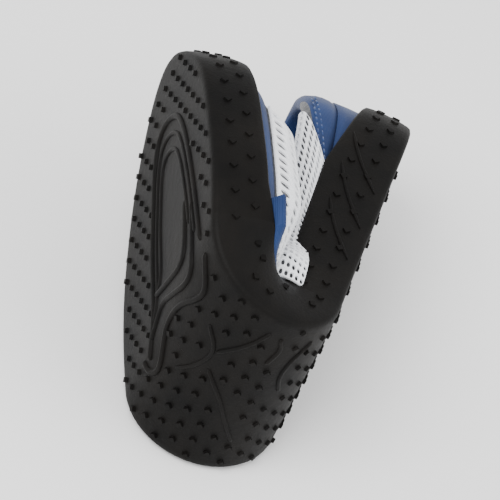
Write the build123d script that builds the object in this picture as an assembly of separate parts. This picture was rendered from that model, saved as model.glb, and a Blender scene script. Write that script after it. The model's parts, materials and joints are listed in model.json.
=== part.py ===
from build123d import *
import math
import os

# Slip-on water shoe, right foot, bent double over its waist, lying on its lateral (outer) side.
# Each piece is drawn flat first: X runs from heel to toe, Y from lateral to medial side, Z up
# from the sole. Then each body is laid round the bend, so that the flat shoe's Y becomes up.

# Fold of the sole
hingeCount = 6
foldAngle = 158.4            # whole turn of the sole, degrees
firstHinge = 127.0           # heel end to first flex line
hingePitch = 12.0            # between flex lines
hingeGap = 0.4               # between neighbouring sole segments

# Plan outline
shoeLength = 284.0
heelWidth = 64.0
waistWidth = 65.0
ballWidth = 93.0
waistPlace = 99.0            # heel end to narrowest part
ballPlace = 223.0            # heel end to widest part

# Rubber cupsole
soleThick = 5.0
wallThick = 3.0
toeWall = 18.5               # height of the rubber wall at the toe
bendWall = 17.6              # and through the waist
heelWall = 20.0              # and at the heel end
heelWallRun = 70.0           # heel end to where the high heel wall has come down
nubSize = 3.2
nubHeight = 1.8
nubPitchY = 8.5
studSize = 3.6
studHeight = 0.9
studPitch = 10.0
studRows = (7.5, 13.5)       # heights of the stud rows on the wall
nubSink = 0.6                # how deep nubs and studs are rooted in the rubber
ridgeWide = 2.2
ridgeHeight = 1.2
ridgeSteps = (22.0, 29.0, 36.0)   # inset of the contour ridges from the outline

# Inside
boardThick = 1.5
footbedThick = 3.0
seatGap = 0.1                # between fitted layers inside the wall

# Upper
fabricThick = 1.8
liningThick = 1.2
counterThick = 1.3
counterHeight = 26.0
counterRun = 48.0            # heel end to the ends of the counter
puffThick = 1.2
puffRun = 40.0               # toe tip back to the edge of the toe puff
vampHeight = 26.0            # flattened forefoot upper, above the sole face
vampShoulder = 18.0          # height where the vamp starts to turn inward
meshFront = 240.0            # heel end to front edge of the vamp mesh
meshInset = 17.0             # vamp mesh edge, in from the outline
seamGap = 0.3                # between panels sewn edge to edge
bindingWide = 3.0
collarBack = 49.0            # topline height at the heel end
collarMid = 38.0             # at collarMidPlace
collarMidPlace = 62.0
collarFront = 22.0           # at the first flex line
quarterTop = 20.2            # fabric height through the bend
panelRun = 54.0              # heel end to front edge of the heel panel
paddingThick = 3.0
paddingDepth = 12.0          # how far the collar padding reaches below the topline

step = foldAngle / hingeCount
lean = math.tan(math.radians(step / 2))
lastHinge = firstHinge + (hingeCount - 1) * hingePitch
boardBase = soleThick
footbedBase = boardBase + boardThick
footbedTop = footbedBase + footbedThick
fabricInset = wallThick + seatGap
liningInset = fabricInset + fabricThick + seatGap
cavityInset = liningInset + liningThick + seatGap
tall = 80.0


def planPoints():
    """Outline of the sole face, with its heading in degrees: heel end, medial side, toe, lateral."""
    length, heel, ball = shoeLength, heelWidth, ballWidth
    return [
        (0.0, 0.46 * heel, 90),
        (0.085 * length, 0.94 * heel, 26),
        (0.17 * length, heel, 2),
        (waistPlace + 8, waistWidth, 4),
        (ballPlace - 0.14 * length, 0.91 * ball, 23),
        (ballPlace, ball, 0),
        (0.93 * length, 0.92 * ball, -38),
        (length, 0.64 * ball, -90),
        (0.952 * length, 0.35 * ball, -130),
        (0.83 * length, 0.085 * ball, -156),
        (0.66 * length, 0.0, -180),
        (0.17 * length, 0.0, -180),
        (0.04 * length, 0.12 * heel, -232),
    ]


def heading(degrees):
    turn = math.radians(degrees)
    return Vector(math.cos(turn), math.sin(turn), 0)


def outlineJoints():
    """Arc ends round the outline, each with its inward normal: two tangent arcs per stretch."""
    points = planPoints()
    ends = []
    for index, (x, y, angle) in enumerate(points):
        nextX, nextY, nextAngle = points[(index + 1) % len(points)]
        start, stop = Vector(x, y, 0), Vector(nextX, nextY, 0)
        along, leave = heading(angle), heading(nextAngle)
        chord = stop - start
        spread = 2 * (1 - along.dot(leave))
        pull = chord.dot(along + leave)
        if spread < 1e-6:
            reach = chord.dot(chord) / (2 * pull)
        else:
            root = math.sqrt(pull * pull + spread * chord.dot(chord))
            reach = (root - pull) / spread
        middle = (start + stop + (along - leave) * reach) * 0.5
        turned = (middle - start).normalized()
        middleAlong = turned * (2 * turned.dot(along)) - along
        ends.append((start, Vector(along.Y, -along.X, 0)))
        ends.append((middle, Vector(middleAlong.Y, -middleAlong.X, 0)))
    return ends


def outlineEdge(inset):
    """Closed outline of the flat shoe, moved inwards square to itself."""
    ends = outlineJoints()
    edges = []
    for index, (start, startNormal) in enumerate(ends):
        stop, stopNormal = ends[(index + 1) % len(ends)]
        first, last = start + startNormal * inset, stop + stopNormal * inset
        chord = last - first
        bend = startNormal.get_signed_angle(stopNormal, Vector(0, 0, -1))
        if abs(bend) < 0.05:
            edges.append(Line(first, last))
            continue
        outward = Vector(-chord.Y, chord.X, 0).normalized()
        rise = chord.length / 2 * math.tan(math.radians(bend / 4))
        edges.append(ThreePointArc(first, (first + last) * 0.5 + outward * rise, last))
    return Wire(edges)


def outlineFace(inset, height):
    return Pos(0, 0, height) * Face(outlineEdge(inset))


def block(inset, bottom, top):
    return extrude(outlineFace(inset, bottom), amount=top - bottom, dir=(0, 0, 1))


def band(outerInset, innerInset, bottom, top):
    return block(outerInset, bottom, top) - block(innerInset, bottom, top)


def sidePrism(points):
    """Solid over the shoe's whole width from an outline in length and height."""
    corners = [(x, -20, z) for x, z in points]
    face = Face(Wire.make_polygon(corners, close=True))
    return extrude(face, amount=160, dir=(0, 1, 0))


def bodyPrism(index, trim=0.0):
    """Space of one body: 0 is the heel, 1 to 5 the flex segments, 6 the forefoot."""
    low = -10.0
    gap = hingeGap / 2 + trim
    if index == 0:
        edge = firstHinge - gap
        return sidePrism([(-20, low), (edge, low), (edge, 0), (edge - lean * tall, tall), (-20, tall)])
    if index == hingeCount:
        edge = lastHinge + gap
        far = shoeLength + 20
        return sidePrism([(far, low), (edge, low), (edge, 0), (edge + lean * tall, tall), (far, tall)])
    start = firstHinge + (index - 1) * hingePitch + gap
    end = start + hingePitch - 2 * gap
    apex = (end - start) / 2 / lean
    return sidePrism([(start, low), (end, low), (end, 0), ((start + end) / 2, apex), (start, 0)])


def underLine(line, drop=0.0):
    """Solid below a height line drawn along the shoe."""
    top = [(x, z - drop) for x, z in line]
    return sidePrism([(top[0][0], -10)] + top + [(top[-1][0], -10)])


wallLine = [
    (-20, heelWall),
    (8, heelWall),
    (heelWallRun, bendWall + 4),
    (firstHinge, bendWall),
    (lastHinge, bendWall),
    (shoeLength + 20, toeWall),
]
topLine = [
    (-20, collarBack),
    (6, collarBack),
    (collarMidPlace, collarMid),
    (firstHinge, collarFront),
]


def rowPlaces():
    """Places of the nub rows along the shoe, two between neighbouring flex lines."""
    pitch = hingePitch / 2
    first = -int(firstHinge / pitch)
    count = int((shoeLength - firstHinge) / pitch)
    return [(row, firstHinge + (row + 0.5) * pitch) for row in range(first, count)]


def insideOutline(corners, x, y):
    inside = False
    for (xa, ya), (xb, yb) in zip(corners, corners[1:] + corners[:1]):
        if (ya > y) != (yb > y) and x < xa + (y - ya) * (xb - xa) / (yb - ya):
            inside = not inside
    return inside


def bodyOf(x):
    return min(max(math.floor((x - firstHinge) / hingePitch) + 1, 0), hingeCount)


def ridgeFace(inset):
    """Leaf-shaped loop under the ball of the foot, pointed towards the toe."""
    centreX = (lastHinge + shoeLength) / 2
    halfLong = (shoeLength - lastHinge) / 2 - inset / 2
    halfWide = ballWidth / 2 - inset
    tip = (centreX + halfLong, ballWidth * 0.53)
    tail = (lastHinge + inset / 5, ballWidth * 0.42)
    loop = [
        tip,
        (centreX + halfLong * 0.35, ballWidth * 0.5 + halfWide * 0.86),
        (centreX - halfLong * 0.4, ballWidth * 0.48 + halfWide * 0.8),
        tail,
        (centreX - halfLong * 0.4, ballWidth * 0.46 - halfWide * 0.8),
        (centreX + halfLong * 0.35, ballWidth * 0.47 - halfWide * 0.86),
    ]
    return make_face(Spline(*loop, periodic=True))


def contourRidges():
    ridges = []
    for inset in ridgeSteps:
        ring = ridgeFace(inset) - ridgeFace(inset + ridgeWide)
        ridges.append(extrude(Pos(0, 0, nubSink) * ring, amount=ridgeHeight + nubSink, dir=(0, 0, -1)))
    return ridges


def nubsByBody():
    """Square nubs of the tread in staggered rows, clear of the edge and of the ridges."""
    edge = outlineEdge(nubSize * 1.1)
    corners = [(p.X, p.Y) for p in (edge.position_at(i / 160) for i in range(160))]
    leaf = ridgeFace(ridgeSteps[0] - nubSize).wires()[0]
    leafCorners = [(p.X, p.Y) for p in (leaf.position_at(i / 120) for i in range(120))]
    nubs = [[] for _ in range(hingeCount + 1)]
    height = nubHeight + nubSink
    for row, x in rowPlaces():
        y = nubPitchY / 2 * (row % 2)
        while y < ballWidth:
            if insideOutline(corners, x, y) and not insideOutline(leafCorners, x, y):
                nub = Box(nubSize, nubSize, height)
                nubs[bodyOf(x)].append(Pos(x, y, nubSink - height / 2) * nub)
            y += nubPitchY
    return nubs


def studAt(edge, place, height):
    """Flat stud standing out of the wall at one place of the outline."""
    point, along = edge.position_at(place), edge.tangent_at(place)
    depth = studHeight + nubSink
    plane = Plane(origin=(point.X, point.Y, height), x_dir=along, z_dir=(0, 0, 1))
    return plane.location * Pos(0, depth / 2 - nubSink, 0) * Box(studSize, depth, studSize * 0.7)


def studsByBody():
    edge = outlineEdge(0)
    count = round(edge.length / studPitch)
    studs = [[] for _ in range(hingeCount + 1)]
    for row, height in enumerate(studRows):
        clear = studSize * 0.5 + hingeGap + height * lean
        for index in range(count):
            place = (index + 0.5 * row) / count
            x = edge.position_at(place).X
            body = bodyOf(x)
            if body == 0 and x > firstHinge - clear:
                continue
            if body == hingeCount and x < lastHinge + clear:
                continue
            if body in (0, hingeCount):
                studs[body].append(studAt(edge, place, height))
    for body in range(1, hingeCount):
        middle = firstHinge + (body - 0.5) * hingePitch
        for height in studRows[: 1 + body % 2]:
            for place in placesAcross(edge, middle):
                studs[body].append(studAt(edge, place, height))
    return studs


def placesAcross(edge, x):
    """Where the outline passes one place along the shoe, medial and lateral."""
    steps = 720
    found = []
    for index in range(steps):
        here, there = edge.position_at(index / steps).X, edge.position_at((index + 1) / steps).X
        if min(here, there) <= x < max(here, there):
            found.append((index + 0.5) / steps)
    return found


def cupsoles():
    slab = block(0, 0, soleThick)
    wall = band(0, wallThick, soleThick - 1, tall) & underLine(wallLine)
    whole = slab + wall
    nubs, studs = nubsByBody(), studsByBody()
    soles = []
    for index in range(hingeCount + 1):
        sole = whole & bodyPrism(index)
        extra = nubs[index] + studs[index]
        if index == hingeCount:
            extra = extra + contourRidges()
        soles.append(sole + extra)
    return soles


def dome(shift):
    """Closed forefoot shape of the upper, shrunk by shift on the sides and the top."""
    shape = block(fabricInset + shift, footbedBase, vampHeight - shift)
    rim = shape.faces().sort_by(Axis.Z)[-1].edges()
    return chamfer(rim, length=vampHeight - vampShoulder, length2=vampHeight - vampShoulder)


def funnel(shift):
    """Heel and waist shape of the upper, inside the rubber wall and above it."""
    return block(fabricInset + shift, footbedBase, tall)


def shell(shape, outerShift, innerShift):
    return shape(outerShift) - shape(innerShift)


underFabric = fabricThick + seatGap
underPadding = underFabric + paddingThick + seatGap
half = ballWidth / 2
medialHalf = Pos(shoeLength / 2, half + 100, 0) * Box(2 * shoeLength, 200, 4 * tall)
lateralHalf = Pos(shoeLength / 2, half - 100, 0) * Box(2 * shoeLength, 200, 4 * tall)
waistMiddle = waistWidth / 2


def alongShoe(start, end):
    middle = (start + end) / 2
    return Pos(middle, 0, 0) * Box(end - start, 400, 4 * tall)


def above(height):
    return Pos(shoeLength / 2, 0, height + tall) * Box(2 * shoeLength, 400, 2 * tall)


def forefootUpper():
    space = bodyPrism(hingeCount, bindingWide)
    edgeSpace = bodyPrism(hingeCount) - bodyPrism(hingeCount, bindingWide - seamGap)
    meshSpace = block(meshInset, 0, tall) & alongShoe(0, meshFront)
    meshRoom = block(meshInset - seamGap, 0, tall) & alongShoe(0, meshFront + seamGap)
    fabric = shell(dome, 0, fabricThick) & space
    puffEdge = shoeLength - puffRun
    puff = shell(dome, underFabric, underFabric + puffThick) & alongShoe(puffEdge, shoeLength + 20)
    inner = shell(dome, underFabric, underFabric + liningThick) & space
    edge = shell(dome, 0, underFabric + liningThick) & edgeSpace
    return {
        "vamp_panel": fabric - meshRoom,
        "vamp_mesh": fabric & meshSpace,
        "toe_puff": puff,
        "vamp_lining": inner & alongShoe(0, puffEdge - seamGap),
        "throat_binding": edge,
    }


def heelUpper():
    space = bodyPrism(0)
    body = space & underLine(topLine, bindingWide + seatGap)
    fabric = shell(funnel, 0, fabricThick) & body
    paddingLow = underLine(topLine, bindingWide + paddingDepth)
    padding = shell(funnel, underFabric, underFabric + paddingThick) & body
    lining = shell(funnel, underPadding, underPadding + liningThick) & body
    counter = shell(funnel, underFabric, underFabric + counterThick) & alongShoe(-20, counterRun)
    binding = shell(funnel, 0, underPadding + liningThick) & space & underLine(topLine)
    front = alongShoe(panelRun + seamGap, firstHinge)
    return {
        "heel_panel": fabric & alongShoe(-20, panelRun),
        "quarter_mesh_medial": fabric & front & Pos(0, waistMiddle - half, 0) * medialHalf,
        "quarter_mesh_lateral": fabric & front & Pos(0, waistMiddle - half, 0) * lateralHalf,
        "heel_counter": (counter & above(footbedTop)) - above(counterHeight),
        "collar_padding": padding - paddingLow - below(counterHeight + seatGap),
        "collar_lining": lining & above(footbedTop),
        "collar_binding": binding - underLine(topLine, bindingWide),
    }


def below(height):
    return Pos(shoeLength / 2, 0, height - tall) * Box(2 * shoeLength, 400, 2 * tall)


def flexUpper(index):
    wall = shell(funnel, 0, fabricThick) & bodyPrism(index)
    wall = wall - above(quarterTop)
    centre = Pos(0, waistMiddle - half, 0)
    return {
        f"quarter_flex_{index}_medial": wall & centre * medialHalf,
        f"quarter_flex_{index}_lateral": wall & centre * lateralHalf,
    }


def bodyName(index):
    if index == 0:
        return "heel"
    if index == hingeCount:
        return "forefoot"
    return f"flex_{index}"


def bodyPlane(index):
    """Where a body lies round the bend, with the forefoot's length along +Y."""
    turn = math.radians(90 + step * (hingeCount - index))
    along = Vector(math.cos(turn), math.sin(turn), 0)
    inward = Vector(along.Y, -along.X, 0)
    return along, inward


def hingePoints():
    """Flex lines in plan, heel side first, on the outer face of the sole."""
    points = [Vector(0, 0, 0)]
    for index in range(hingeCount - 1, 0, -1):
        along, _ = bodyPlane(index)
        points.insert(0, points[0] - along * hingePitch)
    return points


def bodyLocation(index):
    along, inward = bodyPlane(index)
    hinge = max(index - 1, 0)
    flatPlace = firstHinge + hinge * hingePitch
    origin = hingePoints()[hinge] - along * flatPlace
    return Plane(origin=origin, x_dir=along, z_dir=inward).location


def flatPieces():
    """Every piece in the flat shoe, as body index and shape by node name."""
    board = block(fabricInset, boardBase, footbedBase)
    footbed = block(cavityInset, footbedBase, footbedTop)
    pieces = {}
    for index, sole in enumerate(cupsoles()):
        name = bodyName(index)
        pieces[f"outsole_{name}"] = (index, sole)
        pieces[f"insole_board_{name}"] = (index, board & bodyPrism(index))
        pieces[f"footbed_{name}"] = (index, footbed & bodyPrism(index))
    for name, shape in heelUpper().items():
        pieces[name] = (0, shape)
    for name, shape in forefootUpper().items():
        pieces[name] = (hingeCount, shape)
    for index in range(1, hingeCount):
        for name, shape in flexUpper(index).items():
            pieces[name] = (index, shape)
    return pieces


def foldedPieces():
    placed = {name: bodyLocation(index) * shape for name, (index, shape) in flatPieces().items()}
    box = Compound(children=[Compound(piece.solids()) for piece in placed.values()]).bounding_box()
    shift = Vector(-(box.min.X + box.max.X) / 2, -(box.min.Y + box.max.Y) / 2, -box.min.Z)
    return shift, {name: Location(shift) * piece for name, piece in placed.items()}


shift, shoe = foldedPieces()
print("shift", shift.X, shift.Y, shift.Z)
for point in hingePoints():
    print("flex line", [round(value, 4) for value in tuple(point + shift)])
os.makedirs("parts", exist_ok=True)
for name, piece in shoe.items():
    export_step(Compound(piece.solids()), f"parts/{name}.step")
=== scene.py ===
import bpy
import bmesh
import json
import math
import numpy as np
from mathutils import Vector, Matrix


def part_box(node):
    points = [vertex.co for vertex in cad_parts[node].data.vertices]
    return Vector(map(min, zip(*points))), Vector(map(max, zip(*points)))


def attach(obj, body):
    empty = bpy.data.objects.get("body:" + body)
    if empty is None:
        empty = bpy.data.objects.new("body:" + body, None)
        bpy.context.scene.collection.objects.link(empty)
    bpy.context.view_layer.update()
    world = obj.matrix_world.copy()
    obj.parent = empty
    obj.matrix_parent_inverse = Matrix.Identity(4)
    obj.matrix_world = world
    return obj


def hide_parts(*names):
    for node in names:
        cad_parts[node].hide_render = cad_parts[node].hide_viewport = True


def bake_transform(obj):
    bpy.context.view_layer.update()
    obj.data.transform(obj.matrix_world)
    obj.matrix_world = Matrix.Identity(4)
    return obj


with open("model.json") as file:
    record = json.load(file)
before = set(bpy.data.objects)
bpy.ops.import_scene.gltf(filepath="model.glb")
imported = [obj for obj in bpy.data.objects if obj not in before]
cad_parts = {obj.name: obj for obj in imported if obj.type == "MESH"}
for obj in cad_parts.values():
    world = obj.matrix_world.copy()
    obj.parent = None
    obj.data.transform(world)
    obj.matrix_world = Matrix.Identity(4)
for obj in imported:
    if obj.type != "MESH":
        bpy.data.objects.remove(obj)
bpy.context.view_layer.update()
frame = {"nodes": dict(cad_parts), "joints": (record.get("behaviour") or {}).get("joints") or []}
mm = 0.001

# flat shoe: x from heel to toe, y from lateral to medial, h up from the sole; millimetres
shoe = {
    "length": 284.0, "heel": 64.0, "waist": 65.0, "ball": 93.0, "waistPlace": 99.0, "ballPlace": 223.0,
    "firstHinge": 127.0, "pitch": 12.0, "turn": 158.4, "segments": 5,
    "wallToe": 17.5, "wallBend": 22.4, "wallHigh": 23.0, "wallHeel": 15.5, "fabricInset": 3.1,
}
bodyNames = ["heel"] + [f"flex_{i}" for i in range(1, shoe["segments"] + 1)] + ["forefoot"]
hinges = [Vector(j["pos_m"]) for j in sorted(frame["joints"], key=lambda j: j["name"], reverse=True)]
stepTurn = shoe["turn"] / (len(bodyNames) - 1)
bendStart = shoe["firstHinge"] - shoe["pitch"] / 2
bendEnd = shoe["firstHinge"] + (len(hinges) - 0.5) * shoe["pitch"]
bendInner = shoe["pitch"] / 2 / math.tan(math.radians(stepTurn / 2))
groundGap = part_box("quarter_flex_3_lateral")[0][2] / mm - shoe["fabricInset"]


def foldPoints(flat):
    # lays flat points round the bend, in metres
    flat = np.asarray(flat, float).reshape(-1, 3)
    x, y, h = flat[:, 0], flat[:, 1], flat[:, 2]
    turned = np.clip((bendEnd - x) / (bendEnd - bendStart), 0, 1) * math.radians(shoe["turn"])
    alongX, alongY = -np.sin(turned), np.cos(turned)
    inX, inY = alongY, -alongX
    toe = np.array(hinges[-1][:2]) / mm
    centre = toe + np.array([bendInner, shoe["pitch"] / 2])
    over = np.maximum(x - bendEnd, 0) + np.minimum(x - bendStart, 0)
    px = centre[0] - inX * (bendInner - h) + alongX * over
    py = centre[1] - inY * (bendInner - h) + alongY * over
    return np.stack([px, py, y + groundGap], 1) * mm


def outlineTable():
    s = shoe
    return [
        (0.0, 0.46 * s["heel"], 90), (0.085 * s["length"], 0.94 * s["heel"], 26),
        (0.17 * s["length"], s["heel"], 2), (s["waistPlace"] + 8, s["waist"], 4),
        (s["ballPlace"] - 0.14 * s["length"], 0.91 * s["ball"], 23), (s["ballPlace"], s["ball"], 0),
        (0.93 * s["length"], 0.92 * s["ball"], -38), (s["length"], 0.64 * s["ball"], -90),
        (0.952 * s["length"], 0.35 * s["ball"], -130), (0.83 * s["length"], 0.085 * s["ball"], -156),
        (0.66 * s["length"], 0.0, -180), (0.17 * s["length"], 0.0, -180),
        (0.04 * s["length"], 0.12 * s["heel"], -232),
    ]


def sampleOutline(spacing):
    # points and inward normals round the sole, heel end first, medial side first
    table = outlineTable()
    points = []
    for index, (x, y, angle) in enumerate(table):
        nx, ny, nextAngle = table[(index + 1) % len(table)]
        chord = math.hypot(nx - x, ny - y)
        p0, p1 = np.array([x, y]), np.array([nx, ny])
        t0 = np.array([math.cos(math.radians(angle)), math.sin(math.radians(angle))]) * chord
        t1 = np.array([math.cos(math.radians(nextAngle)), math.sin(math.radians(nextAngle))]) * chord
        count = max(2, round(chord / spacing))
        for k in range(count):
            u = k / count
            points.append((2*u**3 - 3*u**2 + 1) * p0 + (u**3 - 2*u**2 + u) * t0
                          + (3*u**2 - 2*u**3) * p1 + (u**3 - u**2) * t1)
    points = np.array(points)
    along = np.roll(points, -1, 0) - np.roll(points, 1, 0)
    along /= np.linalg.norm(along, axis=1)[:, None]
    return points, np.stack([along[:, 1], -along[:, 0]], 1)


outline, inwards = sampleOutline(2.2)
medialSide = outline[:, 1] > np.interp(outline[:, 0], [0, shoe["length"]], [30, 60])


def sideY(x, medial):
    keep = medialSide if medial else ~medialSide
    order = np.argsort(outline[keep, 0])
    return np.interp(x, outline[keep, 0][order], outline[keep, 1][order])


def spineOf(x):
    clipped = np.clip(x, 27, shoe["length"] - 42)
    return clipped, (sideY(clipped, True) + sideY(clipped, False)) / 2


def wallHeight(x):
    s = shoe
    return np.interp(x, [0, 58, 108, 127, 157, 190, 207, s["length"]],
                     [s["wallHeel"], s["wallHigh"], s["wallBend"] - 1.5, s["wallBend"] - 1.5, s["wallBend"],
                      s["wallBend"] - 1.5, s["wallToe"] + 1, s["wallToe"]])


def ringRow(inset, height):
    ring = outline + inwards * inset
    return np.column_stack([ring, np.broadcast_to(height, len(ring))])


def towardsSpine(inset, share, height):
    ring = outline + inwards * inset
    sx, sy = spineOf(outline[:, 0])
    mixed = ring * (1 - share) + np.stack([sx, sy], 1) * share
    return np.column_stack([mixed, np.broadcast_to(height, len(ring))])


def newMaterial(name):
    material = bpy.data.materials.new(name)
    material.use_nodes = True
    nodes, links = material.node_tree.nodes, material.node_tree.links
    shader = nodes["Principled BSDF"]
    return material, nodes, links, shader


def noiseBump(nodes, links, shader, scale, strength, distance, source, previous=None):
    noise = nodes.new("ShaderNodeTexNoise")
    noise.inputs["Scale"].default_value = scale
    noise.inputs["Detail"].default_value = 5
    links.new(source, noise.inputs["Vector"])
    bump = nodes.new("ShaderNodeBump")
    bump.inputs["Strength"].default_value = strength
    bump.inputs["Distance"].default_value = distance
    links.new(noise.outputs["Fac"], bump.inputs["Height"])
    if previous:
        links.new(previous.outputs["Normal"], bump.inputs["Normal"])
    links.new(bump.outputs["Normal"], shader.inputs["Normal"])
    return bump


def colourMix(nodes, links, shader, fac, dark, light, low=0.35, high=0.65):
    ramp = nodes.new("ShaderNodeValToRGB")
    ramp.color_ramp.elements[0].position, ramp.color_ramp.elements[1].position = low, high
    ramp.color_ramp.elements[0].color = (*dark, 1)
    ramp.color_ramp.elements[1].color = (*light, 1)
    links.new(fac, ramp.inputs["Fac"])
    links.new(ramp.outputs["Color"], shader.inputs["Base Color"])


rubberLook = {"dark": (0.0012, 0.001, 0.0009), "light": (0.0036, 0.0029, 0.0023), "roughness": 0.6, "grain": 1500.0}


def mouldedRubber():
    material, nodes, links, shader = newMaterial("mouldedRubber")
    coordinates = nodes.new("ShaderNodeTexCoord").outputs["Object"]
    patches = nodes.new("ShaderNodeTexNoise")
    patches.inputs["Scale"].default_value = 60
    patches.inputs["Detail"].default_value = 6
    links.new(coordinates, patches.inputs["Vector"])
    colourMix(nodes, links, shader, patches.outputs["Fac"], rubberLook["dark"], rubberLook["light"])
    coarse = noiseBump(nodes, links, shader, 420, 0.35, 0.0004, coordinates)
    noiseBump(nodes, links, shader, rubberLook["grain"], 0.5, 0.0002, coordinates, coarse)
    shader.inputs["Roughness"].default_value = rubberLook["roughness"]
    shader.inputs["Specular IOR Level"].default_value = 0.11
    return material


def stretchFabric():
    material, nodes, links, shader = newMaterial("stretchFabric")
    coordinates = nodes.new("ShaderNodeTexCoord").outputs["Object"]
    patches = nodes.new("ShaderNodeTexNoise")
    patches.inputs["Scale"].default_value = 45
    links.new(coordinates, patches.inputs["Vector"])
    colourMix(nodes, links, shader, patches.outputs["Fac"], (0.006, 0.020, 0.078), (0.009, 0.032, 0.118))
    knit = nodes.new("ShaderNodeTexWave")
    knit.inputs["Scale"].default_value = 620
    knit.inputs["Distortion"].default_value = 1.2
    links.new(coordinates, knit.inputs["Vector"])
    bump = nodes.new("ShaderNodeBump")
    bump.inputs["Strength"].default_value = 0.35
    bump.inputs["Distance"].default_value = 0.0002
    links.new(knit.outputs["Fac"], bump.inputs["Height"])
    noiseBump(nodes, links, shader, 240, 0.25, 0.0006, coordinates, bump)
    shader.inputs["Roughness"].default_value = 0.55
    shader.inputs["Specular IOR Level"].default_value = 0.25
    shader.inputs["Sheen Weight"].default_value = 0.03
    shader.inputs["Sheen Roughness"].default_value = 0.4
    return material


def knitCloth(name, dark, light, scale=900):
    material, nodes, links, shader = newMaterial(name)
    coordinates = nodes.new("ShaderNodeTexCoord").outputs["Object"]
    cells = nodes.new("ShaderNodeTexVoronoi")
    cells.inputs["Scale"].default_value = scale
    links.new(coordinates, cells.inputs["Vector"])
    colourMix(nodes, links, shader, cells.outputs["Distance"], light, dark, 0.2, 0.9)
    bump = nodes.new("ShaderNodeBump")
    bump.invert = True
    bump.inputs["Strength"].default_value = 0.5
    bump.inputs["Distance"].default_value = 0.0003
    links.new(cells.outputs["Distance"], bump.inputs["Height"])
    links.new(bump.outputs["Normal"], shader.inputs["Normal"])
    shader.inputs["Roughness"].default_value = 0.85
    shader.inputs["Sheen Weight"].default_value = 0.2
    return material


rubber = mouldedRubber()
blueCloth = stretchFabric()
whiteMesh = knitCloth("spacerMesh", (0.72, 0.74, 0.78), (0.93, 0.94, 0.96), 2600)
# painted shade: the lining is coloured near-black instead of its own light grey, so it shows as shade through the
# holes of the white spacer mesh
liningPaintedShade = knitCloth("liningPaintedShade", (0.03, 0.031, 0.035), (0.09, 0.092, 0.10), 700)
footbedFoam = knitCloth("footbedFoam", (0.02, 0.02, 0.025), (0.06, 0.06, 0.07), 500)
boardCloth = knitCloth("boardCloth", (0.45, 0.44, 0.40), (0.7, 0.69, 0.64), 800)
threadBlue = knitCloth("threadBlue", (0.008, 0.02, 0.08), (0.03, 0.08, 0.24), 3000)
tapeCloth = knitCloth("bindingTape", (0.01, 0.03, 0.12), (0.02, 0.06, 0.22), 1800)
print("materials ready")


def meshObject(name, points, faces, material, folded=False):
    data = bpy.data.meshes.new(name)
    place = points if folded else foldPoints(points)
    data.from_pydata([tuple(p) for p in place], [], [tuple(f) for f in faces])
    data.validate()
    data.materials.append(material)
    made = bpy.data.objects.new(name, data)
    bpy.context.collection.objects.link(made)
    for polygon in data.polygons:
        polygon.use_smooth = True
    return made


def ringsMesh(rows):
    # bmesh in flat millimetres from rows that run round the outline
    shape = bmesh.new()
    count = len(rows[0])
    lines = [[shape.verts.new(tuple(p)) for p in row] for row in rows]
    for low, high in zip(lines, lines[1:]):
        for k in range(count):
            n = (k + 1) % count
            shape.faces.new((low[k], low[n], high[n], high[k]))
    bmesh.ops.remove_doubles(shape, verts=shape.verts, dist=0.02)
    return shape


def cutAcross(shape, places):
    for x in places:
        everything = shape.verts[:] + shape.edges[:] + shape.faces[:]
        bmesh.ops.bisect_plane(shape, geom=everything, dist=0.001, plane_co=(x, 0, 0), plane_no=(1, 0, 0))


bounds = [bendStart + k * shoe["pitch"] for k in range(len(hinges) + 1)]


def bendPlaces():
    inner = [bendStart + k * 1.7 for k in range(int((bendEnd - bendStart) / 1.7) + 1)]
    return sorted(set(round(v, 4) for v in inner + bounds))


def pickedMesh(name, picked, material):
    # one piece from the picked faces of a flat shape
    verts = sorted({v for f in picked for v in f.verts}, key=lambda v: v.index)
    number = {v: i for i, v in enumerate(verts)}
    faces = [[number[v] for v in f.verts] for f in picked]
    return meshObject(name, [tuple(v.co) for v in verts], faces, material)


def placeOnBodies(name, shape, material, picker=None):
    # one piece for each end of the shoe, and one over each flex line
    made = []
    edges = [-shoe["length"]] + bounds + [2 * shoe["length"]]
    for index in range(len(edges) - 1):
        start, end = edges[index], edges[index + 1]
        picked = [f for f in shape.faces
                  if start < f.calc_center_median().x <= end and (picker is None or picker(f))]
        if not picked:
            continue
        piece = pickedMesh(f"{name}_{index}", picked, material)
        if index == 0:
            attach(piece, bodyNames[0])
        elif index == len(edges) - 2:
            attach(piece, bodyNames[-1])
        else:
            blendOverHinge(piece)
        made.append(piece)
    return made


def blendOverHinge(piece):
    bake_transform(piece)


def faceOutwards(shape):
    bmesh.ops.recalc_face_normals(shape, faces=shape.faces)
    shape.verts.index_update()


def rubberShell():
    wall = wallHeight(outline[:, 0])
    rows = [towardsSpine(0, share, 0.0) for share in (1.0, 0.75, 0.5, 0.3, 0.15)]
    rows += [ringRow(3.0, 0.0), ringRow(1.4, 0.1), ringRow(0.4, 0.7), ringRow(0.0, 1.8)]
    for share, out in ((0.25, 0.3), (0.45, 0.5), (0.65, 0.5), (0.85, 0.3)):
        rows.append(ringRow(-out, wall * share))
    rows += [ringRow(0.0, wall - 0.6), ringRow(0.7, wall), ringRow(1.8, wall + 0.1), ringRow(2.7, wall - 0.6)]
    rows += [ringRow(3.0, wall - 3.0), ringRow(3.0, 6.0), ringRow(6.0, 5.2)]
    shape = ringsMesh(rows)
    cutAcross(shape, bendPlaces())
    faceOutwards(shape)
    lowest = min(shape.faces, key=lambda f: f.calc_center_median().z)
    if lowest.normal.z > 0:
        bmesh.ops.reverse_faces(shape, faces=shape.faces)
    return placeOnBodies("rubberSole", shape, rubber)


soleParts = rubberShell()
print("rubber cupsole made")


def sideBump(x, y):
    return np.minimum(sideY(x, True) - y, y - sideY(x, False))


vampLook = {"edge": 12.0, "toeCrown": 22.0, "frontCrown": 24.5, "midCrown": 33.5, "throatCrown": 25.0, "roll": 21.0,
            "meshFront": 250.0, "meshInset": 8.6, "throat": 190.5, "holePitch": 3.3, "holesAcross": 22}


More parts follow.
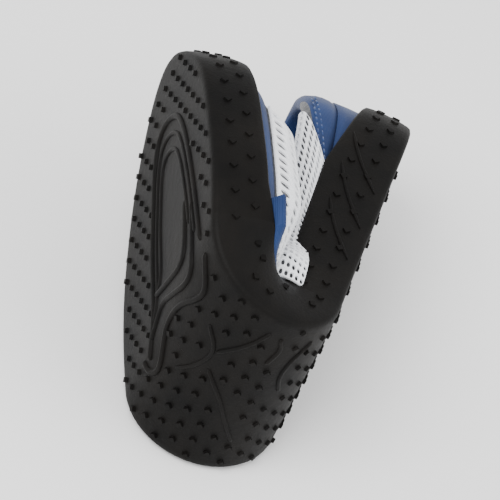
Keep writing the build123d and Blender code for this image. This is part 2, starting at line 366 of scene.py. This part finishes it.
def vampCrown(x):
    v = vampLook
    # the blue side stays low; the mesh rises from it
    return np.interp(x, [v["throat"], v["meshFront"], shoe["length"]],
                     [v["throatCrown"] - 1, v["frontCrown"], v["toeCrown"]])


def meshRise(x, inset):
    v = vampLook
    full = v["midCrown"] - 24
    rise = np.interp(x, [v["throat"], 212, v["meshFront"] - 5, v["meshFront"] + 1], [0.5, full, full, 0])
    return rise * np.clip((inset - v["meshInset"]) / 7, 0, 1) ** 0.6


def vampHeight(x, inset):
    v = vampLook
    away = np.clip(1 - (inset - 3) / v["roll"], 0, 1)
    ripple = 0.35 * np.sin(x * 0.55 + inset * 0.9) * np.clip((195 - x) / 20, 0, 1)
    return vampCrown(x) - (vampCrown(x) - v["edge"]) * away ** 9 + ripple + meshRise(x, inset)


def vampUpper():
    rows = []
    for inset in (3.1, 3.6, 4.4, 5.5, 7.0, 8.5, 10.0, 12.5, 15.5, 19.0, 24.0):
        ring = outline + inwards * inset
        rows.append(np.column_stack([ring, vampHeight(ring[:, 0], inset)]))
    for share in (0.35, 0.7, 1.0):
        row = towardsSpine(24.0, share, 0.0)
        row[:, 2] = vampHeight(row[:, 0], 24.0)
        rows.append(row)
    shape = ringsMesh(rows)
    cutAcross(shape, [vampLook["throat"], vampLook["meshFront"]])
    gone = [f for f in shape.faces if f.calc_center_median().x < vampLook["throat"]]
    bmesh.ops.delete(shape, geom=gone, context="FACES")
    faceOutwards(shape)
    highest = max(shape.faces, key=lambda f: f.calc_center_median().z)
    if highest.normal.z < 0:
        bmesh.ops.reverse_faces(shape, faces=shape.faces)

    def underMesh(face):
        c = face.calc_center_median()
        return c.x < vampLook["meshFront"] and sideBump(c.x, c.y) > vampLook["meshInset"]

    blue = ridingFrom("vampCloth", shape, blueCloth, "forefoot", lambda f: not underMesh(f))
    lining = ridingFrom("vampLiner", shape, liningPaintedShade, "forefoot", underMesh)
    return blue, lining


def ridingFrom(name, shape, material, body, picker):
    piece = pickedMesh(name, [f for f in shape.faces if picker(f)], material)
    thickness = piece.modifiers.new("thickness", "SOLIDIFY")
    thickness.thickness = 1.2 * mm
    thickness.offset = -1
    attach(piece, body)
    return piece


vampCloth, vampLiner = vampUpper()
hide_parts("vamp_panel")

heelLook = {"back": 39.0, "middle": 31.0, "middlePlace": 62.0, "front": 24.0, "end": 121.0, "band": 11.0,
            "lean": 5.0, "roll": 2.2, "thick": 5.5, "bulge": 5.5, "bulgePlace": 113.0, "bulgeRun": 9.0,
            "holePitch": 2.9}


def topLine(x):
    k = heelLook
    return np.interp(x, [6, k["middlePlace"], k["end"] - 14, k["end"] + 6],
                     [k["back"], k["middle"], k["front"] + 3, k["front"]])


def collarBulge(x):
    # the padded mesh swells out over the rubber where the shoe is bent, on the medial side only
    k = heelLook
    return k["bulge"] * np.exp(-((x - k["bulgePlace"]) / k["bulgeRun"]) ** 2)


def heelInset(h):
    return 2.9 + heelLook["lean"] * np.clip((h - 24) / 26, 0, 1) ** 1.3


def heelRing(height, extra=0.0):
    # height follows each place of the outline
    inset = heelInset(height) + extra - collarBulge(outline[:, 0]) * (outline[:, 1] > 30)
    return np.column_stack([outline + inwards * inset[:, None], height])


hemLow, hemTop = (62.0, 24.0), (20.0, 38.0)


def hemPlace(h):
    return np.interp(h, [hemLow[1], hemTop[1]], [hemLow[0], hemTop[0]])


def behindHem(face):
    c = face.calc_center_median()
    return c.x < hemLow[0] + (c.z - hemLow[1]) * (hemTop[0] - hemLow[0]) / (hemTop[1] - hemLow[1])


def cutAtHem(shape):
    run, rise = hemTop[0] - hemLow[0], hemTop[1] - hemLow[1]
    everything = shape.verts[:] + shape.edges[:] + shape.faces[:]
    bmesh.ops.bisect_plane(shape, geom=everything, dist=0.001,
                           plane_co=(hemLow[0], 0, hemLow[1]), plane_no=(rise, 0, -run))


def heelUpper():
    x = outline[:, 0]
    top = topLine(x)
    base = np.minimum(wallHeight(x) - 4, top - 8)
    bandLow = np.maximum(top - heelLook["band"], base + 1)
    rows = [heelRing(base + (bandLow - base) * u) for u in (0, 0.34, 0.67, 1.0)]
    shape = ringsMesh(rows)
    cutAcross(shape, [heelLook["end"]])
    drop = [f for f in shape.faces if f.calc_center_median().x > heelLook["end"]]
    bmesh.ops.delete(shape, geom=drop, context="FACES")
    cutAtHem(shape)
    orient(shape)
    panel = ridingFrom("heelPanel", shape, blueCloth, "heel", behindHem)
    under = ridingFrom("quarterLiner", shape, liningPaintedShade, "heel", lambda f: not behindHem(f))

    roll = []
    for k in range(11):
        angle = math.pi * (k / 10)
        roll.append(heelRing(top - heelLook["roll"] + heelLook["roll"] * math.sin(angle),
                             heelLook["thick"] / 2 * (1 - math.cos(angle))))
    inner = [heelRing(top - heelLook["roll"] - d, heelLook["thick"] + min(d, 1) * 0.4) for d in (3, 7, 12, 18)]
    inner.append(heelRing(np.full(len(x), 10.0), heelLook["thick"]))
    outer = [heelRing(bandLow + (top - heelLook["roll"] - bandLow) * u, -1.1 * math.sin(math.pi * min(u, 0.5)) + 0.6)
             for u in (0.0, 0.25, 0.5, 0.75)]
    shape = ringsMesh(outer + roll + inner)
    cutAcross(shape, [heelLook["end"]])
    drop = [f for f in shape.faces if f.calc_center_median().x > heelLook["end"]]
    bmesh.ops.delete(shape, geom=drop, context="FACES")
    cutAtHem(shape)
    orient(shape)
    rollOver = ridingFrom("heelCollar", shape, blueCloth, "heel", behindHem)
    lining = ridingFrom("collarLiner", shape, liningPaintedShade, "heel", lambda f: not behindHem(f))
    return panel, under, lining


def orient(shape):
    faceOutwards(shape)
    back = min(shape.faces, key=lambda f: f.calc_center_median().x)
    if back.normal.x > 0:
        bmesh.ops.reverse_faces(shape, faces=shape.faces)


heelPanel, quarterLiner, collarLiner = heelUpper()
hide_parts("heel_panel")
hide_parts("quarter_mesh_medial", "quarter_mesh_lateral")
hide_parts("collar_lining", "collar_padding", "collar_binding")
print("uppers made")


def netTree(name, material):
    # turns every quad of a patch into a rounded hole with a padded rim
    tree = bpy.data.node_groups.new(name, "GeometryNodeTree")
    face = tree.interface
    face.new_socket("Geometry", in_out="INPUT", socket_type="NodeSocketGeometry")
    hole = face.new_socket("Hole Share", in_out="INPUT", socket_type="NodeSocketFloat")
    thick = face.new_socket("Thickness", in_out="INPUT", socket_type="NodeSocketFloat")
    face.new_socket("Geometry", in_out="OUTPUT", socket_type="NodeSocketGeometry")
    nodes, links = tree.nodes, tree.links
    source, result = nodes.new("NodeGroupInput"), nodes.new("NodeGroupOutput")
    extrude = nodes.new("GeometryNodeExtrudeMesh")
    extrude.mode = "FACES"
    extrude.inputs["Individual"].default_value = True
    extrude.inputs["Offset Scale"].default_value = 0
    links.new(source.outputs["Geometry"], extrude.inputs["Mesh"])
    shrink = nodes.new("GeometryNodeScaleElements")
    links.new(extrude.outputs["Mesh"], shrink.inputs["Geometry"])
    links.new(extrude.outputs["Top"], shrink.inputs["Selection"])
    links.new(source.outputs["Hole Share"], shrink.inputs["Scale"])
    drop = nodes.new("GeometryNodeDeleteGeometry")
    drop.domain = "FACE"
    links.new(shrink.outputs["Geometry"], drop.inputs["Geometry"])
    links.new(extrude.outputs["Top"], drop.inputs["Selection"])
    thicken = nodes.new("GeometryNodeExtrudeMesh")
    thicken.mode = "FACES"
    thicken.inputs["Individual"].default_value = False
    links.new(drop.outputs["Geometry"], thicken.inputs["Mesh"])
    links.new(source.outputs["Thickness"], thicken.inputs["Offset Scale"])
    smooth = nodes.new("GeometryNodeSubdivisionSurface")
    smooth.inputs["Level"].default_value = 2
    links.new(thicken.outputs["Mesh"], smooth.inputs["Mesh"])
    realize = nodes.new("GeometryNodeRealizeInstances")
    links.new(smooth.outputs["Mesh"], realize.inputs["Geometry"])
    paint = nodes.new("GeometryNodeSetMaterial")
    paint.inputs["Material"].default_value = material
    links.new(realize.outputs["Geometry"], paint.inputs["Geometry"])
    links.new(paint.outputs["Geometry"], result.inputs["Geometry"])
    return tree, {"hole": hole.identifier, "thick": thick.identifier}


def applyTree(piece, tree, values):
    modifier = piece.modifiers.new("tree", "NODES")
    modifier.node_group = tree
    for key, value in values.items():
        modifier[key] = value
    bpy.context.view_layer.update()
    graph = bpy.context.evaluated_depsgraph_get()
    solid = bpy.data.meshes.new_from_object(piece.evaluated_get(graph))
    piece.modifiers.remove(modifier)
    piece.data = solid
    for polygon in solid.polygons:
        polygon.use_smooth = True
    return piece


net, netInputs = netTree("spacerNet", whiteMesh)


def netPatch(name, grid, body, node=None):
    # grid is rows of flat points; every cell becomes one hole
    rows, columns = len(grid), len(grid[0])
    points = [p for row in grid for p in row]
    faces = []
    for r in range(rows - 1):
        for c in range(columns - 1):
            a = r * columns + c
            faces.append((a, a + 1, a + columns + 1, a + columns))
    outward = (0, 0, 1) if node else (0, 1 if points[0][1] > 30 else -1, 0)
    middle = np.array(points[len(points) // 2 - len(points) // 2 % columns + columns // 3])
    patch = meshObject(name, points, faces, whiteMesh)
    aim = Vector((foldPoints(middle + np.array(outward)) - foldPoints(middle))[0])
    closest = min(patch.data.polygons, key=lambda p: (p.center - Vector(foldPoints(middle)[0])).length)
    if closest.normal.dot(aim) < 0:
        patch.data.flip_normals()
    applyTree(patch, net, {netInputs["hole"]: 0.66, netInputs["thick"]: 0.9 * mm})
    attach(patch, body)
    if node:
        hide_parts(node)
    return patch


def vampNet():
    v = vampLook
    grid = []
    across = v["holesAcross"]
    for k in range(int((v["meshFront"] - v["throat"]) / v["holePitch"]) + 1):
        x = v["throat"] + k * v["holePitch"]
        low, high = sideY(x, False) + v["meshInset"] - 0.3, sideY(x, True) - v["meshInset"] + 0.3
        row = []
        for c in range(across + 1):
            y = low + (high - low) * (c / across)
            row.append((x, y, float(vampHeight(x, sideBump(x, y))) + 0.6))
        grid.append(row)
    return netPatch("vampNet", grid, "forefoot", "vamp_mesh")


def collarNet(medial):
    k = heelLook
    wanted = (outline[:, 0] <= k["end"] + 4) & (outline[:, 0] > 8) & ((outline[:, 1] > 30) == medial)
    order = np.argsort(outline[wanted, 0])
    table = np.column_stack([outline[wanted], inwards[wanted]])[order]

    def columnPoint(c, px):
        top = float(topLine(px))
        low = max(top - k["band"], 14.0)
        if c <= 5:
            h = low + (top - k["roll"] - low) * c / 5
            extra = -0.5 - 0.7 * math.sin(math.pi * c / 5)
        else:
            angle = math.pi * (c - 5) / 4
            h = top - k["roll"] + (k["roll"] + 0.5) * math.sin(angle)
            extra = k["thick"] / 2 * (1 - math.cos(angle)) - 0.5 * math.cos(angle)
        py, nx, ny = (np.interp(px, table[:, 0], table[:, n]) for n in (1, 2, 3))
        inset = float(heelInset(h)) + extra - float(collarBulge(px)) * medial
        return (px + nx * inset, py + ny * inset, h)

    starts = [float(hemPlace(columnPoint(c, 45.0)[2])) - 1 for c in range(9)]
    count = int((k["end"] - 40) / k["holePitch"])
    grid = [[columnPoint(c, starts[c] + (k["end"] - starts[c]) * i / count) for c in range(9)]
            for i in range(count + 1)]
    if medial:
        grid = [list(reversed(row)) for row in grid]
    return netPatch("collarNetMedial" if medial else "collarNetLateral", grid, "heel")


quarterLook = {"meshFrom": 107.0, "blueFrom": 131.0, "blueTo": 203.0, "low": 12.0, "top": 24.4, "reach": 0.25}


def quarterSkins():
    k = quarterLook
    rows = [ringRow(inset, height) for inset, height in (
        (3.1, k["low"]), (2.6, 19.0), (0.8, 21.4), (-0.6, 22.9), (0.4, 24.1),
        (3.2, k["top"]), (5.0, 23.2), (6.0, 19.0), (6.2, k["low"] - 2))]
    shape = ringsMesh(rows)
    cutAcross(shape, bendPlaces() + [k["blueFrom"], k["meshFrom"], k["blueTo"]])
    faceOutwards(shape)
    orientRing(shape)
    placeOnBodies("quarterCloth", shape, blueCloth,
                  lambda f: k["blueFrom"] < f.calc_center_median().x < k["blueTo"])
    placeOnBodies("quarterMesh", shape, whiteMesh,
                  lambda f: k["meshFrom"] < f.calc_center_median().x < k["blueFrom"])


def orientRing(shape):
    toe = max(shape.faces, key=lambda f: f.calc_center_median().x)
    if toe.normal.x < 0:
        bmesh.ops.reverse_faces(shape, faces=shape.faces)


quarterSkins()
vampNet()
collarNet(True)
collarNet(False)
print("spacer mesh made")


def scatterTree(name, material):
    # flat-topped studs on points that carry their aim and their heading
    tree = bpy.data.node_groups.new(name, "GeometryNodeTree")
    face = tree.interface
    face.new_socket("Geometry", in_out="INPUT", socket_type="NodeSocketGeometry")
    size = face.new_socket("Stud Size", in_out="INPUT", socket_type="NodeSocketFloat")
    height = face.new_socket("Stud Height", in_out="INPUT", socket_type="NodeSocketFloat")
    face.new_socket("Geometry", in_out="OUTPUT", socket_type="NodeSocketGeometry")
    nodes, links = tree.nodes, tree.links
    source, result = nodes.new("NodeGroupInput"), nodes.new("NodeGroupOutput")
    cone = nodes.new("GeometryNodeMeshCone")
    cone.inputs["Vertices"].default_value = 4
    links.new(source.outputs["Stud Size"], cone.inputs["Radius Bottom"])
    share = nodes.new("ShaderNodeMath")
    share.operation = "MULTIPLY"
    share.inputs[1].default_value = 0.84
    links.new(source.outputs["Stud Size"], share.inputs[0])
    links.new(share.outputs[0], cone.inputs["Radius Top"])
    links.new(source.outputs["Stud Height"], cone.inputs["Depth"])
    aim, heading = nodes.new("GeometryNodeInputNamedAttribute"), nodes.new("GeometryNodeInputNamedAttribute")
    for node, key in ((aim, "aim"), (heading, "heading")):
        node.data_type = "FLOAT_VECTOR"
        node.inputs["Name"].default_value = key
    stand = nodes.new("FunctionNodeAlignRotationToVector")
    stand.axis = "Z"
    links.new(aim.outputs["Attribute"], stand.inputs["Vector"])
    turn = nodes.new("FunctionNodeAlignRotationToVector")
    turn.axis, turn.pivot_axis = "X", "Z"
    links.new(stand.outputs["Rotation"], turn.inputs["Rotation"])
    links.new(heading.outputs["Attribute"], turn.inputs["Vector"])
    place = nodes.new("GeometryNodeInstanceOnPoints")
    links.new(source.outputs["Geometry"], place.inputs["Points"])
    links.new(cone.outputs["Mesh"], place.inputs["Instance"])
    links.new(turn.outputs["Rotation"], place.inputs["Rotation"])
    realize = nodes.new("GeometryNodeRealizeInstances")
    links.new(place.outputs["Instances"], realize.inputs["Geometry"])
    paint = nodes.new("GeometryNodeSetMaterial")
    paint.inputs["Material"].default_value = material
    links.new(realize.outputs["Geometry"], paint.inputs["Geometry"])
    links.new(paint.outputs["Geometry"], result.inputs["Geometry"])
    return tree, {"size": size.identifier, "height": height.identifier}


scatter, scatterInputs = scatterTree("studScatter", rubber)


def scatterStuds(name, flat, away, body, size, height):
    # flat places, and a flat direction to stand out along, for one body
    flat, away = np.array(flat, float), np.array(away, float)
    base = foldPoints(flat)
    tip = foldPoints(flat + away)
    ahead = foldPoints(flat + np.array([0.2, 0.0, 0.0]))
    data = bpy.data.meshes.new(name)
    data.from_pydata([tuple(p) for p in base], [], [])
    for key, vectors in (("aim", tip - base), ("heading", ahead - base)):
        vectors = vectors / np.linalg.norm(vectors, axis=1)[:, None]
        attribute = data.attributes.new(key, "FLOAT_VECTOR", "POINT")
        attribute.data.foreach_set("vector", vectors.astype(np.float32).ravel())
    data.materials.append(rubber)
    piece = bpy.data.objects.new(name, data)
    bpy.context.collection.objects.link(piece)
    applyTree(piece, scatter, {scatterInputs["size"]: size * mm, scatterInputs["height"]: height * mm})
    for polygon in piece.data.polygons:
        polygon.use_smooth = False
    for key in ("aim", "heading"):
        if key in piece.data.attributes:
            piece.data.attributes.remove(piece.data.attributes[key])
    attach(piece, body)
    return piece


def bodyOf(x):
    return bodyNames[min(max(math.floor((x - shoe["firstHinge"]) / shoe["pitch"]) + 1, 0), len(hinges))]


treadLook = {"pitchY": 7.4, "size": 1.35, "height": 1.25, "edge": 3.2, "leafGap": 2.6}


def inLeafArea(x, y):
    ring = leafCurve + [tuple(p) for p in archCurves[2][1:-1]]
    inside = False
    for (ax, ay), (bx, by) in zip(ring, ring[1:] + ring[:1]):
        if (ay > y) != (by > y) and x < (bx - ax) * (y - ay) / (by - ay) + ax:
            inside = not inside
    return inside


def treadNubs():
    ridgePoints = np.vstack([line for line, _ in treadLines()])
    rowPitch = shoe["pitch"] / 2
    places = {name: [] for name in bodyNames}
    for row in range(-15, 25):
        x = shoe["firstHinge"] + (row + 0.5) * rowPitch
        if not 4 < x < shoe["length"] - 4:
            continue
        y = treadLook["pitchY"] / 2 * (row % 2)
        while y < shoe["ball"]:
            clear = sideBump(x, y) > treadLook["edge"] and x < shoe["length"] - 8
            nearRidge = np.min(np.hypot(ridgePoints[:, 0] - x, ridgePoints[:, 1] - y)) < treadLook["leafGap"]
            if clear and not nearRidge and not inLeafArea(x, y):
                places[bodyOf(x)].append((x, y, 0.3))
            y += treadLook["pitchY"]
    for name, flat in places.items():
        if flat:
            down = [(0, 0, -1)] * len(flat)
            scatterStuds(f"treadNubs_{name}", flat, down, name, treadLook["size"], treadLook["height"])


studLook = {"rows": (0.36, 0.68), "pitch": 9.2, "size": 1.5, "height": 0.95, "flexGap": 3.2}


def wallStuds():
    places = {name: ([], []) for name in bodyNames}
    length = np.concatenate([[0], np.cumsum(np.linalg.norm(np.diff(outline, axis=0), axis=1))])
    for row, share in enumerate(studLook["rows"]):
        for d in np.arange(2 + row * studLook["pitch"] / 2, length[-1], studLook["pitch"]):
            x = np.interp(d, length, outline[:, 0])
            inBend = shoe["firstHinge"] - 4 < x < shoe["firstHinge"] + 5 * shoe["pitch"] + 4
            h = float(wallHeight(x)) * share
            nearest = shoe["firstHinge"] + round((x - shoe["firstHinge"]) / shoe["pitch"]) * shoe["pitch"]
            if inBend and abs(x - nearest) < studLook["flexGap"]:
                continue
            y = np.interp(d, length, outline[:, 1])
            nx, ny = np.interp(d, length, inwards[:, 0]), np.interp(d, length, inwards[:, 1])
            flat, away = places[bodyOf(x)]
            flat.append((x - nx * 0.1, y - ny * 0.1, h))
            away.append((-nx, -ny, 0))
    for name, (flat, away) in places.items():
        if flat:
            scatterStuds(f"wallStuds_{name}", flat, away, name, studLook["size"], studLook["height"])


wallStuds()


def bead(name, flat, away, radius, body):
    # half-sunk round ridge along flat points; away is its outward direction
    flat = np.array(flat, float)
    centre = foldPoints(flat)
    up = foldPoints(flat + np.array(away, float)) - centre
    up /= np.linalg.norm(up, axis=1)[:, None]
    along = np.gradient(centre, axis=0)
    along /= np.linalg.norm(along, axis=1)[:, None]
    side = np.cross(along, up)
    ring = 8
    points = []
    for i in range(len(centre)):
        taper = min(1.0, 0.25 + 0.25 * min(i, len(centre) - 1 - i))
        for k in range(ring):
            angle = 2 * math.pi * k / ring
            points.append(centre[i] + (up[i] * math.sin(angle) + side[i] * math.cos(angle)) * radius * mm * taper)
    faces = [(i * ring + k, i * ring + (k + 1) % ring, (i + 1) * ring + (k + 1) % ring, (i + 1) * ring + k)
             for i in range(len(centre) - 1) for k in range(ring)]
    faces += [tuple(range(ring - 1, -1, -1)), tuple((len(centre) - 1) * ring + k for k in range(ring))]
    piece = meshObject(name, points, faces, rubber, folded=True)
    shape = bmesh.new()
    shape.from_mesh(piece.data)
    bmesh.ops.recalc_face_normals(shape, faces=shape.faces)
    shape.to_mesh(piece.data)
    shape.free()
    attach(piece, body)
    return piece


ridgeLook = {"radius": 1.15, "fine": 0.85, "copies": (1.0, 0.8, 0.6), "centre": (228.0, 56.0)}
leafCurve = [(187, 24), (193, 30), (202, 33), (220, 35), (238, 40), (252, 44), (260, 50), (260, 60), (253, 69),
             (240, 73), (223, 75), (205, 76), (192, 76)]
archCurves = [
    [(218, 67), (199, 63), (197, 58), (200, 48), (203, 39), (204, 36)],
    [(213, 72), (193, 69), (188, 66), (188, 59), (193, 49), (197, 41), (195, 35), (191, 27)],
    [(186, 77), (179, 69), (179, 63), (186, 53), (188, 42), (184, 34), (181, 26), (184, 21), (190, 20)],
]
bendCurves = [
    [(149, 64), (147, 59), (150, 52)], [(153, 66), (158, 58), (166, 50)],
    [(166, 42), (158, 32), (153, 22), (148, 14)], [(136, 61), (141, 54), (143, 46), (140, 38)],
    [(172, 58), (166, 50), (170, 40), (176, 33)],
]


def softLine(points, rounds=3):
    points = np.array(points, float)
    for _ in range(rounds):
        a, b = points[:-1], points[1:]
        mid = np.stack([a * 0.75 + b * 0.25, a * 0.25 + b * 0.75], 1).reshape(-1, 2)
        points = np.vstack([points[:1], mid, points[-1:]])
    return points


def treadLines():
    lines = []
    centre = np.array(ridgeLook["centre"])
    for share in ridgeLook["copies"]:
        scaled = centre + (np.array(leafCurve, float) - centre) * share
        lines.append((softLine(scaled), ridgeLook["radius"] if share == 1 else ridgeLook["fine"]))
    lines += [(softLine(c), ridgeLook["radius"]) for c in archCurves]
    lines += [(softLine(c), ridgeLook["fine"]) for c in bendCurves]
    return lines


def treadRidges():
    for number, (line, radius) in enumerate(treadLines()):
        along = np.gradient(line, axis=0)
        along /= np.linalg.norm(along, axis=1)[:, None]
        side = np.stack([along[:, 1], -along[:, 0]], 1)
        shape = bmesh.new()
        rings = []
        for i, place in enumerate(line):
            taper = min(1.0, 0.3 + 0.2 * min(i, len(line) - 1 - i))
            ring = []
            for k in range(8):
                angle = 2 * math.pi * k / 8
                flat = place + side[i] * math.cos(angle) * radius * taper
                ring.append(shape.verts.new((flat[0], flat[1], 0.15 - radius * taper * math.sin(angle))))
            rings.append(ring)
        for low, high in zip(rings, rings[1:]):
            for k in range(8):
                shape.faces.new((low[k], low[(k + 1) % 8], high[(k + 1) % 8], high[k]))
        shape.faces.new(rings[0])
        shape.faces.new(rings[-1])
        cutAcross(shape, bounds)
        faceOutwards(shape)
        for piece in placeOnBodies(f"treadRidge_{number}", shape, rubber):
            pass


stitchLook = {"length": 1.9, "pitch": 3.0, "radius": 0.32, "lines": (2.6, 5.2)}


def seamStitches():
    # two rows of thread behind the hem of the heel panel
    k = stitchLook
    run = math.hypot(hemTop[0] - hemLow[0], hemTop[1] - hemLow[1])
    for medial, label in ((True, "medial"), (False, "lateral")):
        for number, back in enumerate(k["lines"]):
            points, faces = [], []
            for d in np.arange(1, run - 9, k["pitch"]):
                ends = []
                for place in (d, d + k["length"]):
                    u = place / run
                    x = hemLow[0] + (hemTop[0] - hemLow[0]) * u - back
                    h = hemLow[1] + (hemTop[1] - hemLow[1]) * u - back * 0.25
                    inset = float(heelInset(h)) - 0.25
                    y = float(sideY(x, medial)) + (-inset if medial else inset)
                    ends.append(np.array([x, y, h]))
                base = len(points)
                for end in ends:
                    for n in range(6):
                        angle = math.pi * n / 3
                        points.append(end + np.array([0, math.cos(angle), math.sin(angle)]) * k["radius"])
                faces += [(base + n, base + (n + 1) % 6, base + 6 + (n + 1) % 6, base + 6 + n) for n in range(6)]
                faces += [tuple(base + n for n in range(5, -1, -1)), tuple(base + 6 + n for n in range(6))]
            piece = meshObject(f"panelStitch_{number}_{label}", points, faces, threadBlue)
            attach(piece, "heel")


def wallRidges():
    for number, (xs, hs) in enumerate((((98, 74), (4, 17)), ((82, 56), (4, 18)), ((64, 40), (4, 18)))):
        x = np.linspace(*xs, 20)
        h = np.linspace(*hs, 20) + 1.5 * np.sin(np.linspace(0, math.pi, 20))
        for side, label in ((True, "medial"), (False, "lateral")):
            y = sideY(x, side) + (0.4 if side else -0.4)
            out = (0, 1, 0) if side else (0, -1, 0)
            bead(f"heelRidge_{number}_{label}", np.column_stack([x, y, h]), [out] * 20, 0.7, "heel")


treadRidges()
wallRidges()
seamStitches()
treadNubs()
print("ridges, nubs and studs made")

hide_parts(*[f"outsole_{name}" for name in bodyNames])
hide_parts(*[f"quarter_flex_{i}_{side}" for i in range(1, 6) for side in ("medial", "lateral")])
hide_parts("throat_binding")
for name, node in frame["nodes"].items():
    finish = {"insole": boardCloth, "footbe": footbedFoam, "vamp_l": liningPaintedShade}.get(name[:6], tapeCloth)
    for place in node.material_slots:
        place.material = finish

floorLook = {"size": 3.0, "colour": (0.9, 0.9, 0.9)}


def studioFloor():
    size = floorLook["size"]
    data = bpy.data.meshes.new("floor")
    data.from_pydata([(-size, -size, 0), (size, -size, 0), (size, size, 0), (-size, size, 0)], [], [(0, 1, 2, 3)])
    floor = bpy.data.objects.new("floor", data)
    bpy.context.collection.objects.link(floor)
    material, _, _, shader = newMaterial("paleFloor")
    shader.inputs["Base Color"].default_value = (*floorLook["colour"], 1)
    shader.inputs["Roughness"].default_value = 0.9
    data.materials.append(material)


def studioLight():
    world = bpy.data.worlds.new("studio")
    bpy.context.scene.world = world
    world.use_nodes = True
    world.node_tree.nodes["Background"].inputs["Color"].default_value = (1, 1, 1, 1)
    world.node_tree.nodes["Background"].inputs["Strength"].default_value = 1.3
    for name, place, energy, size in (("keyLight", (-0.7, -0.5, 1.1), 22, 0.8),
                                      ("fillLight", (0.9, -0.6, 0.7), 7, 1.0)):
        light = bpy.data.lights.new(name, "AREA")
        light.energy, light.size = energy, size
        lamp = bpy.data.objects.new(name, light)
        bpy.context.collection.objects.link(lamp)
        lamp.location = place
        lamp.rotation_euler = (Vector((0, 0, 0.04)) - Vector(place)).to_track_quat("-Z", "Y").to_euler()


cameraLook = {"toCamera": (0.7353, 0.6774, 0.0237), "up": (-0.6198, 0.6577, 0.4281), "distance": 1.462,
              "scale": 3.01, "aim": (57.9, 0.0, 38.6), "aimX": 217.5, "aimY": 267.8}


def studioCamera():
    # directions are given in the heel's own frame: ahead, medial, up from the sole
    k = cameraLook
    turned = math.radians(shoe["turn"])
    ahead = Vector((-math.sin(turned), math.cos(turned), 0))
    inwardSide = Vector((ahead.y, -ahead.x, 0))
    toWorld = Matrix((ahead, Vector((0, 0, 1)), inwardSide)).transposed()
    back = (toWorld @ Vector(k["toCamera"])).normalized()
    up = toWorld @ Vector(k["up"])
    right = up.cross(back).normalized()
    up = back.cross(right)
    aim = Vector(foldPoints(k["aim"])[0])
    aim += right * (250 - k["aimX"]) / k["scale"] * mm - up * (250 - k["aimY"]) / k["scale"] * mm
    data = bpy.data.cameras.new("camera")
    data.sensor_width = 36
    data.lens = k["scale"] * k["distance"] * 1000 / 500 * 36
    data.clip_end = 20
    camera = bpy.data.objects.new("camera", data)
    bpy.context.collection.objects.link(camera)
    facing = Matrix((right, up, back)).transposed().to_4x4()
    camera.matrix_world = Matrix.Translation(aim + back * k["distance"]) @ facing
    bpy.context.scene.camera = camera


studioFloor()
studioLight()
studioCamera()
print("studio ready")
